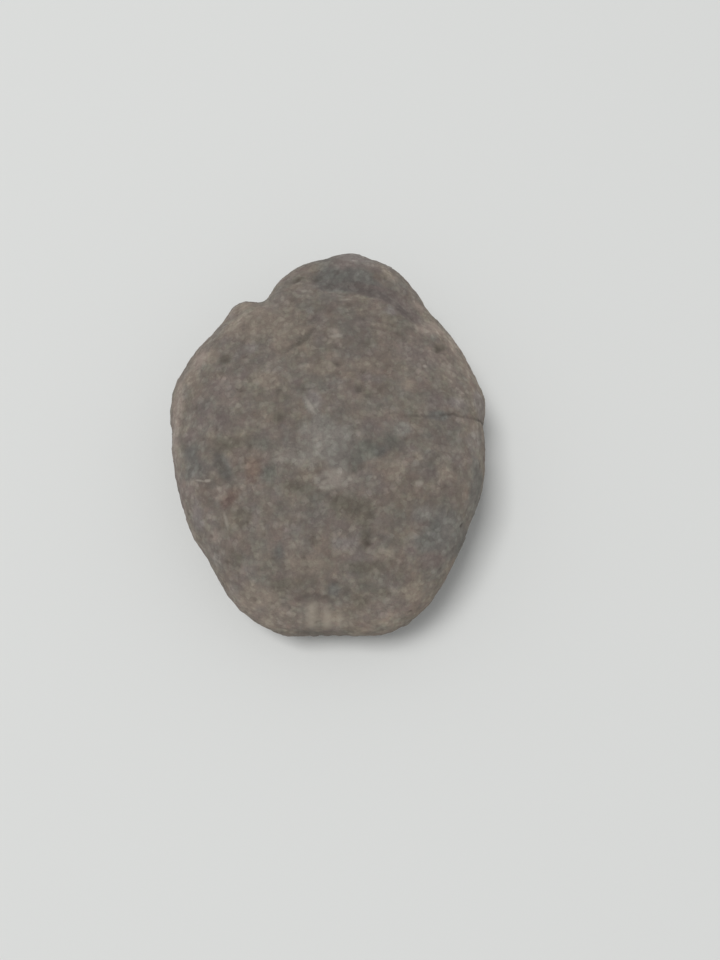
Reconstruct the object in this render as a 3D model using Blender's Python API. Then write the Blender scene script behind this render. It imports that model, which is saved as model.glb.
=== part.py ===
"""A fossil trilobite, partly rolled up and worn to a pebble, lying on its back as it rests.

The side that faces up is the belly, filled with hardened sediment and only gently domed. The side
that faces down is the back of the shell, with its three lobes, the head's swollen middle, two eye
mounds and a tail shield. The highest part of the back is worn flat, and the stone rests on that
patch. Shell, filling and rind are mineralised together, so the whole fossil is one solid.

X runs across the body, +Y points to the head and +Z is up. The origin is on the table, under the
middle of the stone's box. All the sizes below are in millimetres.
"""

import math

import bmesh
import bpy
import numpy as np

MM = 0.001

# The widest line of the stone, seen from above: clockwise, from the front of the head.
OUTLINE = [
    (2.5, 20.4),
    (5.4, 19.5),
    (8.1, 18.0),
    (10.0, 15.5),
    (11.1, 13.6),
    (13.4, 11.3),
    (15.3, 8.2),
    (16.6, 4.7),
    (16.9, 2.8),
    (16.4, 0.5),
    (16.6, -1.4),
    (16.2, -5.2),
    (15.6, -8.0),
    (14.3, -10.8),
    (13.0, -13.9),
    (11.1, -17.3),
    (8.6, -19.8),
    (5.4, -21.1),
    (0.0, -21.0),
    (-3.8, -21.2),
    (-5.7, -20.5),
    (-7.8, -19.5),
    (-9.5, -17.9),
    (-11.0, -15.4),
    (-12.1, -13.3),
    (-13.6, -11.3),
    (-15.2, -6.7),
    (-16.2, -1.5),
    (-16.6, 3.4),
    (-15.0, 7.3),
    (-12.2, 10.7),
    (-10.6, 13.6),
    (-8.9, 14.2),
    (-7.2, 13.4),
    (-6.4, 15.0),
    (-5.3, 16.9),
    (-2.9, 18.8),
    (-0.7, 19.3),
]

RIM_HEIGHT = 7.5  # height of the widest line above the table, apart from the dips
# Where the rim dips or rises: direction and half angle in degrees, height.
RIM_DIPS = [(28, 32, -2.2), (-38, 24, 0.5), (-95, 36, -3.2), (-148, 20, 0.5), (165, 35, -0.6)]
BELLY_HEIGHT = 6.8  # from the rim up to the middle of the belly
BACK_DEPTH = 8.0  # from the rim down to the middle of the back, before its relief
BELLY_ROUND = (4.4, 0.5)  # the two powers of each side's rounding: higher, then lower, is squarer
BACK_ROUND = (2.5, 0.5)
WEAR_ROUND = 0.2  # how softly the worn patch runs out into the back

SECTORS = 104
BELLY_RINGS = 20
BACK_RINGS = 25
CURVE_STEPS = 12  # points between two points of the outline
SMOOTH_TURN = math.radians(22)  # inner rings follow the outline averaged over this turn each way
SMOOTH_SAMPLES = 15
NOTCH_POWER = 2.5  # the higher, the sooner a notch of the rim fades out inwards
RELIEF_POWER = 6  # the higher, the closer to the rim the relief of a side reaches

# Broad swellings and hollows of the belly: centre, half widths, turn in degrees, height.
BELLY_HILLS = [
    ((0.3, -2.5), (4.5, 6.0), 0, 0.5),  # worn boss in the middle
    ((3.2, -11.9), (3.2, 4.0), 0, -0.4),  # hollow behind it
    ((11.5, -12.5), (5.5, 4.5), -50, -0.6),  # the corner that slopes away
    ((-8.5, 9.9), (4.5, 1.7), 27, 0.45),  # crest of the cheek
    ((14.6, 1.6), (1.8, 1.8), 0, 0.4),  # knob above the crack
    ((-13.5, -5.0), (2.5, 5.0), 10, -0.25),  # dip along the left side
    ((6.5, -16.5), (4.0, 2.4), 20, 0.3),  # swelling before the tail's edge, right
    ((-4.0, -15.2), (4.0, 2.6), 0, 0.25),  # and left
    ((3.5, 17.0), (4.5, 2.2), -15, 0.3),  # front border of the head
]
# The groove behind the head's front border, which runs across the belly as an arch.
BROW_ARCH = [(-1.2, 15.0), (1.4, 13.2), (5.1, 13.8), (7.7, 13.1), (10.3, 10.9)]
BROW_WIDTH = 1.1
BROW_DEPTH = 0.5

# The back's middle lobe from head to tail, as (y, half width).
MIDDLE_LOBE = [
    (22.0, 3.0),
    (17.0, 4.0),
    (9.0, 6.0),
    (6.0, 5.4),
    (-8.0, 4.4),
    (-14.0, 3.0),
    (-18.5, 1.2),
]
LOBE_RISE = 0.5
LOBE_END = (-19.5, 4.0)  # where the lobe has run out at the tail, and over what length
LOBE_FURROW = (0.6, 1.5, 0.5)  # how far outside the lobe's half width, half width, depth
GLABELLA = ((0.0, 12.6), (4.6, 4.8), 0, 0.5)
EYES = [((side * 9.0, 10.2), (1.5, 2.0), side * 15, 0.6) for side in (-1, 1)]
# Furrows right across, behind the head and before the tail: place in y, half width, depth.
CROSS_FURROWS = [(7.6, 1.2, 0.4), (-10.6, 1.2, 0.35)]
CROSS_BEND = 0.018  # how far they swing forward at the sides, per millimetre squared

STONE_COLOUR = (0.21, 0.185, 0.16, 1.0)
STONE_ROUGHNESS = 0.9


def closed_curve(points, steps):
    """A smooth closed curve through the points, as an array of x and y."""
    given = np.array(points, float)
    before, after, beyond = (np.roll(given, shift, axis=0) for shift in (1, -1, -2))
    found = []
    for k in range(steps):
        t = k / steps
        found.append(
            0.5
            * (
                2 * given
                + (after - before) * t
                + (2 * before - 5 * given + 4 * after - beyond) * t**2
                + (3 * given - before - 3 * after + beyond) * t**3
            )
        )
    return np.stack(found, axis=1).reshape(-1, 2)


def rim_radius(angles, outline):
    """The outline's distance from the middle in each direction."""
    curve = closed_curve(outline, CURVE_STEPS)
    turn = np.arctan2(curve[:, 1], curve[:, 0])
    order = np.argsort(turn)
    return np.interp(angles, turn[order], np.hypot(*curve[order].T), period=2 * math.pi)


def ring_radius(angles, share, outline):
    """A ring's distance from the middle. The notches of the outline fade out towards the middle."""
    turns = np.linspace(-SMOOTH_TURN, SMOOTH_TURN, SMOOTH_SAMPLES)
    smooth = np.mean([rim_radius(angles + turn, outline) for turn in turns], axis=0)
    sharp = share**NOTCH_POWER
    return share * (sharp * rim_radius(angles, outline) + (1 - sharp) * smooth)


def rim_height(angles, share):
    height = RIM_HEIGHT
    for direction, half_angle, rise in RIM_DIPS:
        apart = (np.degrees(angles) - direction + 180) % 360 - 180
        height = height + share**2 * rise * np.exp(-((apart / half_angle) ** 2))
    return height


def hill(x, y, centre, half_widths, turn, height):
    """A smooth mound, or a hollow where the height is negative."""
    c, s = math.cos(math.radians(turn)), math.sin(math.radians(turn))
    dx, dy = x - centre[0], y - centre[1]
    along, across = (dx * c + dy * s) / half_widths[0], (dy * c - dx * s) / half_widths[1]
    return height * np.exp(-(along**2) - across**2)


def distance_to_path(x, y, path):
    """How far each point is from a path of straight runs."""
    nearest = np.full(np.shape(x), np.inf)
    for (ax, ay), (bx, by) in zip(path, path[1:]):
        run = (bx - ax) ** 2 + (by - ay) ** 2
        t = np.clip(((x - ax) * (bx - ax) + (y - ay) * (by - ay)) / run, 0, 1)
        nearest = np.minimum(nearest, np.hypot(x - ax - t * (bx - ax), y - ay - t * (by - ay)))
    return nearest


def belly_relief(x, y):
    """How far the belly stands above its plain dome."""
    relief = sum(hill(x, y, *shape) for shape in BELLY_HILLS)
    return relief - BROW_DEPTH * np.exp(-((distance_to_path(x, y, BROW_ARCH) / BROW_WIDTH) ** 2))


def back_relief(x, y):
    """How far the back stands out from its plain dome."""
    ys, widths = zip(*sorted(MIDDLE_LOBE))
    half = np.interp(y, ys, widths)
    end, run_out = LOBE_END
    fade = np.clip((y - end) / run_out, 0, 1)
    relief = fade * LOBE_RISE * np.exp(-((x / half) ** 4))
    gap, width, depth = LOBE_FURROW
    relief -= fade * depth * np.exp(-(((np.abs(x) - half - gap) / width) ** 2))
    for shape in [GLABELLA, *EYES]:
        relief += hill(x, y, *shape)
    for place, width, depth in CROSS_FURROWS:
        relief -= depth * np.exp(-(((y - place - CROSS_BEND * x**2) / width) ** 2))
    return relief


def worn_flat(z):
    """Cuts off what lies under the table's height, with a soft edge round the flat patch."""
    edge = (z + WEAR_ROUND) ** 2 / (4 * WEAR_ROUND)
    return np.where(z < -WEAR_ROUND, 0.0, np.where(z < WEAR_ROUND, edge, z))


def ring_points(angles, share, outline, belly):
    """One ring of the belly or the back, at this share of the way from the middle to the rim."""
    radius = ring_radius(angles, share, outline)
    x, y = radius * np.cos(angles), radius * np.sin(angles)
    rim = rim_height(angles, share)
    fade = 1 - share**RELIEF_POWER  # the rim is common to both sides, so it has no relief
    power, root = BELLY_ROUND if belly else BACK_ROUND
    dome = (1 - share**power) ** root
    if belly:
        z = rim + BELLY_HEIGHT * dome + fade * belly_relief(x, y)
    else:
        z = worn_flat(rim - BACK_DEPTH * dome - fade * back_relief(x, y))
    return np.stack([x, y, z], axis=1)


def stone_mesh(outline=OUTLINE):
    """The whole stone: rings from the middle of the belly, over the rim, to the middle of the back."""
    angles = np.arange(SECTORS) * 2 * math.pi / SECTORS
    shares = [math.sin(math.pi / 2 * k / BELLY_RINGS) for k in range(1, BELLY_RINGS + 1)]
    rings = [ring_points(angles, share, outline, True) for share in shares]
    shares = [math.sin(math.pi / 2 * k / BACK_RINGS) for k in range(BACK_RINGS - 1, 0, -1)]
    rings += [ring_points(angles, share, outline, False) for share in shares]
    middles = [ring_points(np.zeros(1), 0.0, outline, belly) for belly in (True, False)]

    points = np.concatenate([*rings, *middles])
    low, high = points.min(axis=0), points.max(axis=0)
    points -= [(low[0] + high[0]) / 2, (low[1] + high[1]) / 2, low[2]]

    bm = bmesh.new()
    verts = [bm.verts.new(point * MM) for point in points]
    top, bottom = verts[-2:]
    for j in range(SECTORS):
        k = (j + 1) % SECTORS
        bm.faces.new((top, verts[j], verts[k]))
        for ring in range(len(rings) - 1):
            a, b = ring * SECTORS, (ring + 1) * SECTORS
            bm.faces.new((verts[a + j], verts[b + j], verts[b + k], verts[a + k]))
        last = (len(rings) - 1) * SECTORS
        bm.faces.new((bottom, verts[last + k], verts[last + j]))
    bmesh.ops.triangulate(bm, faces=bm.faces, quad_method="BEAUTY")
    bmesh.ops.recalc_face_normals(bm, faces=bm.faces)
    mesh = bpy.data.meshes.new("trilobite_fossil")
    bm.to_mesh(mesh)
    bm.free()
    mesh.shade_smooth()
    return mesh


def stone_material():
    material = bpy.data.materials.new("fossil_stone")
    material.use_nodes = True
    shader = material.node_tree.nodes["Principled BSDF"]
    shader.inputs["Base Color"].default_value = STONE_COLOUR
    shader.inputs["Roughness"].default_value = STONE_ROUGHNESS
    return material


def main():
    for old in list(bpy.data.objects):
        bpy.data.objects.remove(old, do_unlink=True)
    stone = bpy.data.objects.new("trilobite_fossil", stone_mesh())
    stone.data.materials.append(stone_material())
    bpy.context.scene.collection.objects.link(stone)


main()
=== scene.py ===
# %% [markdown]
# # A fossil trilobite, worn to a pebble
#
# The object is a single stone, 42 mm long. A trilobite died, curled up a little and filled with mud; the
# mud and the shell turned to limestone together, and a stream rolled the lump until only traces of the
# animal were left. It lies on its back: the side that shows is the belly, a gentle dome of filling inside
# the rim of the shell.
#
# A stone has no parts to put together, so the whole lesson is about one surface. First comes a dense, even
# skin over the measured solid, then the large lumps, then the traces of the animal, then pits and grit,
# then the colours, and last the floor and the light.
#
# All lengths in this file are in millimetres, and `MM` turns them into Blender's metres.

# %% Load the measured solid
import math

import bpy
import numpy as np
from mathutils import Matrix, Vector, noise


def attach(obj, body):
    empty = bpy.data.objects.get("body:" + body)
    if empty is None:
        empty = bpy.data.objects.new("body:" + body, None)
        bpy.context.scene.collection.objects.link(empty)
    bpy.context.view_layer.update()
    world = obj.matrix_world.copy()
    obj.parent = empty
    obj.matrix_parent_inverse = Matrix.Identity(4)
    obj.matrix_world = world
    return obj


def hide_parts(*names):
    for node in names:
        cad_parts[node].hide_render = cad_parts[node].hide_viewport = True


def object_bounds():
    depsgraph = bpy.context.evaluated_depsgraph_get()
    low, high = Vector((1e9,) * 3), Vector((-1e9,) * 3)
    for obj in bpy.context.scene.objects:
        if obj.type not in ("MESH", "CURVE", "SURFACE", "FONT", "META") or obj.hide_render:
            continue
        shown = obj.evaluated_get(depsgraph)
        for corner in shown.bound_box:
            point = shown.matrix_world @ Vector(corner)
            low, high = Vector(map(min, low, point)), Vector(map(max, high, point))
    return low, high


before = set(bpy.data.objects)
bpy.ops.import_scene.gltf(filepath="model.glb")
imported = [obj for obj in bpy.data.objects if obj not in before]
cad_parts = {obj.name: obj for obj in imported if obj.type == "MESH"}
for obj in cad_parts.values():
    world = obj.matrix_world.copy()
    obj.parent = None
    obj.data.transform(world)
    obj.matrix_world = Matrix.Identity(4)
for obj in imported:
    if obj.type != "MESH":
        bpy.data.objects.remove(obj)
cad_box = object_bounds()
MM = 0.001
print("solid, mm:", [round(size / MM, 2) for size in cad_box[1] - cad_box[0]])

# %% [markdown]
# ## The camera first
#
# The stone is seen from nearly above and from the tail's side, about as near as an eye can focus: close
# enough that the far end looks a little smaller than the near one. The camera is set first, so that every
# later step can be judged in the view that matters. Its near clipping distance has to be shorter than
# Blender's usual 10 cm, because the camera itself is closer than that.

# %% Camera
VIEW_HEIGHT = math.radians(73)  # above the horizon
VIEW_DISTANCE = 85.0
VIEW_TARGET = Vector((3.29, -2.93, 0.0))  # the point of the table in the middle of the view
LENS = 28.125  # for a sensor of 36 along the long side
NEAR_CLIP = 5.0  # nothing nearer than this is drawn

camera = bpy.data.objects.new("camera", bpy.data.cameras.new("camera"))
bpy.context.scene.collection.objects.link(camera)
bpy.context.scene.camera = camera
camera.data.lens = LENS
camera.data.clip_start = NEAR_CLIP * MM
away = Vector((0, -math.cos(VIEW_HEIGHT), math.sin(VIEW_HEIGHT)))
camera.location = (VIEW_TARGET + VIEW_DISTANCE * away) * MM
camera.rotation_euler = (math.pi / 2 - VIEW_HEIGHT, 0, 0)
print("camera at, mm:", [round(place / MM, 1) for place in camera.location])

# %% [markdown]
# ## A dense, even skin
#
# The measured solid is made of flat triangles about a millimetre long, too coarse for grit and too uneven
# to sculpt. A sculptor would voxel-remesh such a base. The solid's mesh is copied, its doubled corners are
# merged, one level of subdivision rounds the facets, and a voxel remesh gives quads of one size all over. A
# short smoothing takes out what is left of the facets. The quads are small enough for a rib of half a
# millimetre and few enough to stay quick.

# %% Copy, merge, remesh
SAME_CORNER = 0.001  # corners nearer to each other than this are one
VOXEL = 0.206
SMOOTHING, PASSES = 0.5, 12


def select_only(piece):
    bpy.ops.object.select_all(action="DESELECT")
    piece.select_set(True)
    bpy.context.view_layer.objects.active = piece


def apply_modifier(piece, kind, **settings):
    """Adds a modifier, sets it and applies it."""
    modifier = piece.modifiers.new(kind.title(), kind)
    for name, value in settings.items():
        setattr(modifier, name, value)
    select_only(piece)
    bpy.ops.object.modifier_apply(modifier=modifier.name)


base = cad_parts["trilobite_fossil"].data.copy()
base.materials.clear()
stone = bpy.data.objects.new("fossil_stone", base)
bpy.context.scene.collection.objects.link(stone)
select_only(stone)
bpy.ops.object.mode_set(mode="EDIT")
bpy.ops.mesh.select_all(action="SELECT")
bpy.ops.mesh.remove_doubles(threshold=SAME_CORNER * MM)
bpy.ops.mesh.tris_convert_to_quads()
bpy.ops.object.mode_set(mode="OBJECT")
apply_modifier(stone, "SUBSURF", levels=1, render_levels=1)
apply_modifier(stone, "REMESH", mode="VOXEL", voxel_size=VOXEL * MM, use_smooth_shade=True)
apply_modifier(stone, "SMOOTH", factor=SMOOTHING, iterations=PASSES)
print("skin:", len(stone.data.polygons), "quads")

# %% [markdown]
# ## Lumps of every size
#
# A stream-worn stone is never smooth: it has swellings as wide as a fingertip and dents of a few
# millimetres. Each size gets its own Displace modifier with a cloud texture of that size. The texture is
# read in the object's own space, so the lumps stay where they are when the stone is turned.

# %% Broad lumps
LUMPS = [(6.0, 0.26, 1), (2.4, 0.17, 2)]  # size, height, depth of detail


def displace(piece, size, height, depth):
    texture = bpy.data.textures.new("lumps", "CLOUDS")
    texture.noise_scale = size * MM
    texture.noise_depth = depth
    apply_modifier(piece, "DISPLACE", texture=texture, texture_coords="LOCAL", strength=height * MM)


for size, height, depth in LUMPS:
    displace(stone, size, height, depth)
print("lumps of", [size for size, _, _ in LUMPS], "mm")

# %% [markdown]
# ## All points at once
#
# The skin has nearly a hundred thousand points, too many to move one by one. Blender hands them all over
# as one array, and the array is moved as a whole and handed back. The same goes for the normals, which say
# which way is outwards at each point.

# %% Read the points and put them back


def read(piece, what, name):
    values = np.empty(3 * len(piece.data.vertices), np.float32)
    getattr(piece.data, what).foreach_get(name, values)
    return values.reshape(-1, 3).astype(float)


def points_of(piece):
    return read(piece, "vertices", "co") / MM


def normals_of(piece):
    return read(piece, "vertex_normals", "vector")


def put_points(piece, points):
    piece.data.vertices.foreach_set("co", (points * MM).astype(np.float32).ravel())
    piece.data.update()


points, normals = points_of(stone), normals_of(stone)
print("points:", len(points))

# %% [markdown]
# ## Strokes and spots
#
# The relief that is left of the trilobite is a few tenths of a millimetre high: furrows, ribs, dips and
# pits. Pressing these in by hand with a sculpt brush is one way. Here each stroke is written down as a path
# and a width, and the points under it are moved along their normals, which is the same thing and can be
# repeated. Every tool returns a weight from 0 to 1 for each point of the skin, so it serves twice: for the
# relief now and for the stains later.

# %% Strokes and spots


def soft_step(values, low, high):
    """0 below low, 1 above high, and a smooth slope between them."""
    t = np.clip((values - low) / (high - low), 0, 1)
    return t * t * (3 - 2 * t)


def ridge(offset, width):
    """1 where the offset is 0, fading out over the half width."""
    return np.exp(-((offset / width) ** 2))


def spot(points, x, y, along, across, turn):
    """A soft round or oval spot, seen from above."""
    c, s = math.cos(math.radians(turn)), math.sin(math.radians(turn))
    dx, dy = points[:, 0] - x, points[:, 1] - y
    return ridge(dx * c + dy * s, along) * ridge(dy * c - dx * s, across)


def stroke(points, path, width):
    """A soft line along a path, seen from above."""
    nearest = np.full(len(points), np.inf)
    for (ax, ay), (bx, by) in zip(path, path[1:]):
        run = (bx - ax) ** 2 + (by - ay) ** 2
        dx, dy = points[:, 0] - ax, points[:, 1] - ay
        t = np.clip((dx * (bx - ax) + dy * (by - ay)) / run, 0, 1)
        nearest = np.minimum(nearest, np.hypot(dx - t * (bx - ax), dy - t * (by - ay)))
    return ridge(nearest, width)


print("weight of a stroke at its half width:", round(float(ridge(1.0, 1.0)), 2))

# %% [markdown]
# ## Nothing is straight
#
# A stroke drawn between a few points is as straight as a ruler, and nothing on a worn stone is. So the
# strokes are drawn on points that have been shifted a little by a smooth noise, and they wander with it.

# %% Wandering lines
OCTAVES = (1.0, 2.0, 3)  # three octaves, each half as strong as the one before and twice as fine
SEED_STEPS = (17.3, 5.1, 9.7)  # how far the noise of one seed lies from the next


def wander(points, size, seed):
    """Smooth noise about 0, of about this size."""
    shift = Vector([seed * step for step in SEED_STEPS])
    return np.array([noise.fractal(Vector(point) / size + shift, *OCTAVES) for point in points])


WOBBLE, WOBBLE_SIZE = 0.25, 1.6  # how far a stroke wanders, and over what length

still = np.zeros(len(points))
wobble = np.stack([wander(points, WOBBLE_SIZE, seed) for seed in (1, 2)] + [still], axis=1)
drawn = points + WOBBLE * wobble  # strokes drawn on these points wander
print("the strokes wander by", round(WOBBLE * np.abs(wobble).max(), 2), "mm at most")

# %% [markdown]
# ## The belly
#
# The head's front border stands up behind a broad, arched furrow. Along the left cheek runs a crest, and
# inside it a dip. The middle is a worn boss, smooth and a little higher than the rest. Here and there lies
# a short furrow or a pit. All of them are strokes and spots, and the narrow hollows are remembered, because
# they are painted darker, as shade.

# %% Furrows, crests and dips of the belly
BROW = [(-1.5, 15.4), (1.2, 14.0), (3.5, 14.2), (4.8, 14.4), (7.4, 13.2), (10.0, 11.1)]
# Each stroke is a path, its half width and how far it stands out: below 0 it is a furrow.
BELLY_STROKES = [
    (BROW, 1.3, -0.2),
    ([(0.6, 12.2), (3.0, 12.0), (5.6, 12.2)], 0.5, 0.1),
    ([(-4.4, 6.0), (-3.4, 6.5), (-2.0, 7.4), (-1.7, 8.3)], 0.28, -0.16),
    ([(-2.2, 9.0), (-1.4, 9.7), (-0.9, 10.6)], 0.3, -0.12),
    ([(-10.4, -4.4), (-10.0, -5.5), (-9.3, -6.7)], 0.4, -0.18),
    ([(4.2, -11.8), (4.1, -12.9)], 0.3, -0.16),
    ([(-2.4, -17.7), (-1.2, -17.4), (0.6, -17.8)], 0.3, -0.1),
    ([(-2.6, -20.6), (2.4, -20.7)], 0.25, -0.1),
    ([(-13.9, 0.8), (-13.7, -1.2), (-13.3, -3.2), (-13.3, -5.6)], 0.9, -0.15),
    ([(-11.9, 7.2), (-10.6, 8.6), (-8.6, 9.6), (-6.0, 10.6)], 0.7, 0.15),
    ([(-2.3, 0.9), (-1.7, 0.1), (-0.9, -1.1)], 0.35, 0.1),
    ([(2.5, -2.4), (2.7, -4.4), (2.3, -6.6)], 0.4, -0.1),
]
# Each spot is x, y, the two half widths, its turn and how far it stands out.
BELLY_SPOTS = [
    (0.2, -3.6, 2.9, 4.2, 8, 0.2),
    (-8.6, 6.2, 2.6, 1.6, 15, -0.22),
    (3.4, -11.4, 1.8, 2.6, 0, -0.08),
    (14.3, 1.6, 1.3, 1.2, 0, 0.2),
    (-10.1, 5.5, 0.45, 0.4, 0, -0.22),
    (-1.3, 9.5, 0.4, 0.35, 0, -0.18),
    (1.2, 4.7, 0.45, 0.35, 0, -0.22),
    (3.1, 1.9, 0.55, 0.35, 30, -0.22),
    (-4.6, 1.9, 0.35, 0.35, 0, -0.16),
    (-4.4, -1.1, 0.5, 0.4, 60, -0.16),
    (11.4, 7.4, 0.6, 0.3, 20, -0.25),
    (-3.4, 14.9, 0.5, 0.35, 0, -0.2),
    (-1.2, 15.3, 0.5, 0.35, 20, -0.25),
    (3.2, -9.8, 0.55, 0.4, 0, -0.2),
    (4.3, -10.3, 0.5, 0.4, 30, -0.12),
    (3.2, -13.2, 0.4, 0.35, 0, -0.14),
    (-5.3, 13.0, 1.2, 0.8, 30, 0.12),
]

NARROW, DEEP = 0.8, 0.2  # a narrow hollow is painted with shade, and a deep one with all of it
BELLY_FROM, BELLY_FULL = -0.1, 0.25  # how far up a point of the skin faces where the relief sets in

belly = soft_step(normals[:, 2], BELLY_FROM, BELLY_FULL)
marks = [(stroke(drawn, path, width), width, rise) for path, width, rise in BELLY_STROKES]
marks += [(spot(drawn, *place), place[2], rise) for *place, rise in BELLY_SPOTS]
relief, hollow_shade = np.zeros(len(points)), np.zeros(len(points))
for weight, width, rise in marks:
    relief += rise * belly * weight
    if rise < 0 and width < NARROW:
        hollow_shade = np.maximum(hollow_shade, belly * weight * min(1, -rise / DEEP))
print("belly relief, mm:", relief.min().round(2), "to", relief.max().round(2))

# %% [markdown]
# ## The crack
#
# A closed crack comes in from the right rim and dies out before the middle. It is a thin line that gapes
# more here and less there, so its path is a table with a third number. It is kept as a distance with a
# sign, up or down from its line, because the colour wants it again.

# %% The crack
CRACK = [  # x, y and how far it gapes
    (6.5, -0.9, 0.0), (7.6, -0.75, 0.3), (8.7, -0.66, 0.7), (9.7, -0.68, 0.25), (10.8, -0.5, 0.6),
    (11.9, -0.2, 0.65), (12.5, 0.05, 0.8), (13.3, -0.1, 0.5), (14.5, 0.1, 0.5), (15.2, 0.3, 0.9),
    (16.1, 0.8, 1.0), (17.0, 1.2, 1.0),
]
CRACK_DEPTH, CRACK_WIDTH, CRACK_WOBBLE = 0.08, 0.2, 0.08
CRACK_NONE, CRACK_FULL = -0.7, -0.2  # it fades out under the flank, where the skin faces down so far

crack_x, crack_y, gape = zip(*CRACK)
crack_offset = points[:, 1] - np.interp(points[:, 0], crack_x, crack_y) + CRACK_WOBBLE * wobble[:, 0]
crack_depth = np.interp(points[:, 0], crack_x, gape) * soft_step(normals[:, 2], CRACK_NONE, CRACK_FULL)
relief -= CRACK_DEPTH * crack_depth * ridge(crack_offset, CRACK_WIDTH)
print("crack from x", crack_x[0], "to the rim,", CRACK_DEPTH, "mm deep")

# %% [markdown]
# ## Rib ends at the tail
#
# At the tail's edge the ends of five ribs are left in a shallow trough, the clearest trace of the animal.
# Each rib stands upright, narrows towards its upper end and fades out softly at both. The weight of the
# ribs is kept too, because they are rubbed pale.

# %% Rib ends
RIBS = [  # place in x, half width, upper end in y, strength
    (-2.4, 0.16, -17.9, 0.4), (-1.22, 0.74, -17.8, 1.0), (0.1, 0.5, -18.1, 1.0),
    (1.4, 0.42, -18.6, 0.8), (2.5, 0.3, -19.0, 0.4),
]
RIB_END, RIB_END_FADE = -20.1, 0.4  # the lower end in y, the same for all, and how softly it fades
TOP_FADE = (-0.3, 0.7)  # from above the upper end to below it
TOP_WIDTH, TOP_LENGTH = 0.6, 1.4  # how much of its width a rib has at the upper end, and how long it narrows
RIB_WOBBLE, RIB_RISE = 0.15, 0.22
TROUGH, TROUGH_WIDTH, TROUGH_DEPTH = [(-2.0, -19.2), (2.2, -19.6)], 1.0, 0.12

ribs = np.zeros(len(points))
rib_x, rib_y, _ = (points + RIB_WOBBLE * wobble).T
for x, width, top, strength in RIBS:
    length = soft_step(top - rib_y, *TOP_FADE)
    length *= soft_step(rib_y, RIB_END - RIB_END_FADE, RIB_END + RIB_END_FADE)
    width = width * (TOP_WIDTH + (1 - TOP_WIDTH) * soft_step(top - rib_y, 0, TOP_LENGTH))
    ribs = np.maximum(ribs, strength * length * ridge(rib_x - x, width))
rib_row = stroke(points, TROUGH, TROUGH_WIDTH)
relief += belly * (RIB_RISE * ribs - TROUGH_DEPTH * rib_row)
print("rib ends:", len(RIBS))

# %% [markdown]
# ## The back: lobes, rings and tail
#
# The animal's back lies on the table, and it is the side that tells what the stone is: a long middle lobe
# between two furrows, thirteen rings in the body and a ribbed tail. The measured solid has the three lobes.
# The fine furrows are cut here, all of them inwards, so that the stone keeps its size and still stands on
# the same worn patch. Rings that repeat are not drawn one by one: a distance from the head, divided by the
# pitch and folded, is 0 on every furrow at once.

# %% Lobes, rings and tail
MIDLINE = -0.2  # the animal's middle in x
LOBE = [(-19.0, 1.2), (-14.0, 2.9), (-8.0, 4.4), (6.5, 5.3), (9.5, 5.6)]  # y, half width of the middle lobe
FURROW_GAP = 0.6  # how far outside the lobe its furrow runs
HEAD_BACK, RINGS, RING_PITCH, RING_FADE = 8.05, 13, 1.4, 0.3  # the fade at both ends of the row is in rings
FORWARD_BEND, RING_BOW = 0.018, 0.5  # the rings swing forward at the sides, and bow forward on the lobe
TAIL_FRONT, TAIL_PITCH, TAIL_RINGS, TAIL_FADE = -10.5, 1.15, 7, 1
TAIL_FAN = 0.1  # the tail's ribs fan out sideways
END_RIB_PITCH, END_RIB_SHIFT = 1.3, 1.0  # the ribs over the tail's end, in line with the pale ones
# Each pair says where something sets in and where it is full.
LOBE_EDGE = (-0.6, 0.2)  # the middle lobe: distance inside its border
TAIL_START = (0.0, 0.4)  # the tail: distance behind its front, in ribs
END_FACING, END_BEHIND = (0.4, 0.8), (16.0, 18.0)  # its end: how far the skin faces backwards, and -y
LOBE_BACK, LOBE_FRONT = (-19.5, -16.5), (1.0, 2.0)  # the lobe's furrow: y, and where it ends past HEAD_BACK
CUTS = {  # how deep and, as a half width, how wide each furrow is; rings and ribs in shares of their pitch
    "ring": (0.36, 0.21),
    "groove_on_ring": (0.1, 0.14),
    "tail_rib": (0.28, 0.2),
    "tail_end_rib": (0.25, 0.2),
    "lobe": (0.45, 0.6),
    "behind_head": (0.32, 0.3),
    "middle_of_head": (0.45, 0.5),
    "head_furrow": (0.3, 0.35),
    "round_eye": (0.22, 0.22),
    "border": (0.25, 0.09),
}


def cut(name, offset, where=1.0):
    """One kind of furrow, where the offset is 0."""
    depth, width = CUTS[name]
    return depth * where * ridge(offset, width)


x, y = drawn[:, 0] - MIDLINE, drawn[:, 1]
side = np.abs(x)
half = np.interp(y, *zip(*LOBE))
outside = np.clip(side - half, 0, None)
on_lobe = soft_step(half - side, *LOBE_EDGE)

ring = (HEAD_BACK - y + FORWARD_BEND * side**2 + RING_BOW * on_lobe * (1 - (x / half) ** 2)) / RING_PITCH
in_body = soft_step(ring, -RING_FADE, 0) * (1 - soft_step(ring, RINGS, RINGS + RING_FADE))
carved = cut("ring", (ring + 0.5) % 1 - 0.5, in_body)
carved += cut("groove_on_ring", ring % 1 - 0.5, in_body * (1 - on_lobe))

tail_ring = (TAIL_FRONT - y + FORWARD_BEND * side**2) / (TAIL_PITCH + TAIL_FAN * outside)
in_tail = soft_step(tail_ring, *TAIL_START)
in_tail *= 1 - soft_step(tail_ring, TAIL_RINGS - TAIL_FADE, TAIL_RINGS + TAIL_FADE)
carved += cut("tail_rib", (tail_ring + 0.5) % 1 - 0.5, in_tail)
tail_end = soft_step(-normals[:, 1], *END_FACING) * soft_step(-y, *END_BEHIND)
carved += cut("tail_end_rib", (x + END_RIB_SHIFT) / END_RIB_PITCH % 1 - 0.5, tail_end)

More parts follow.
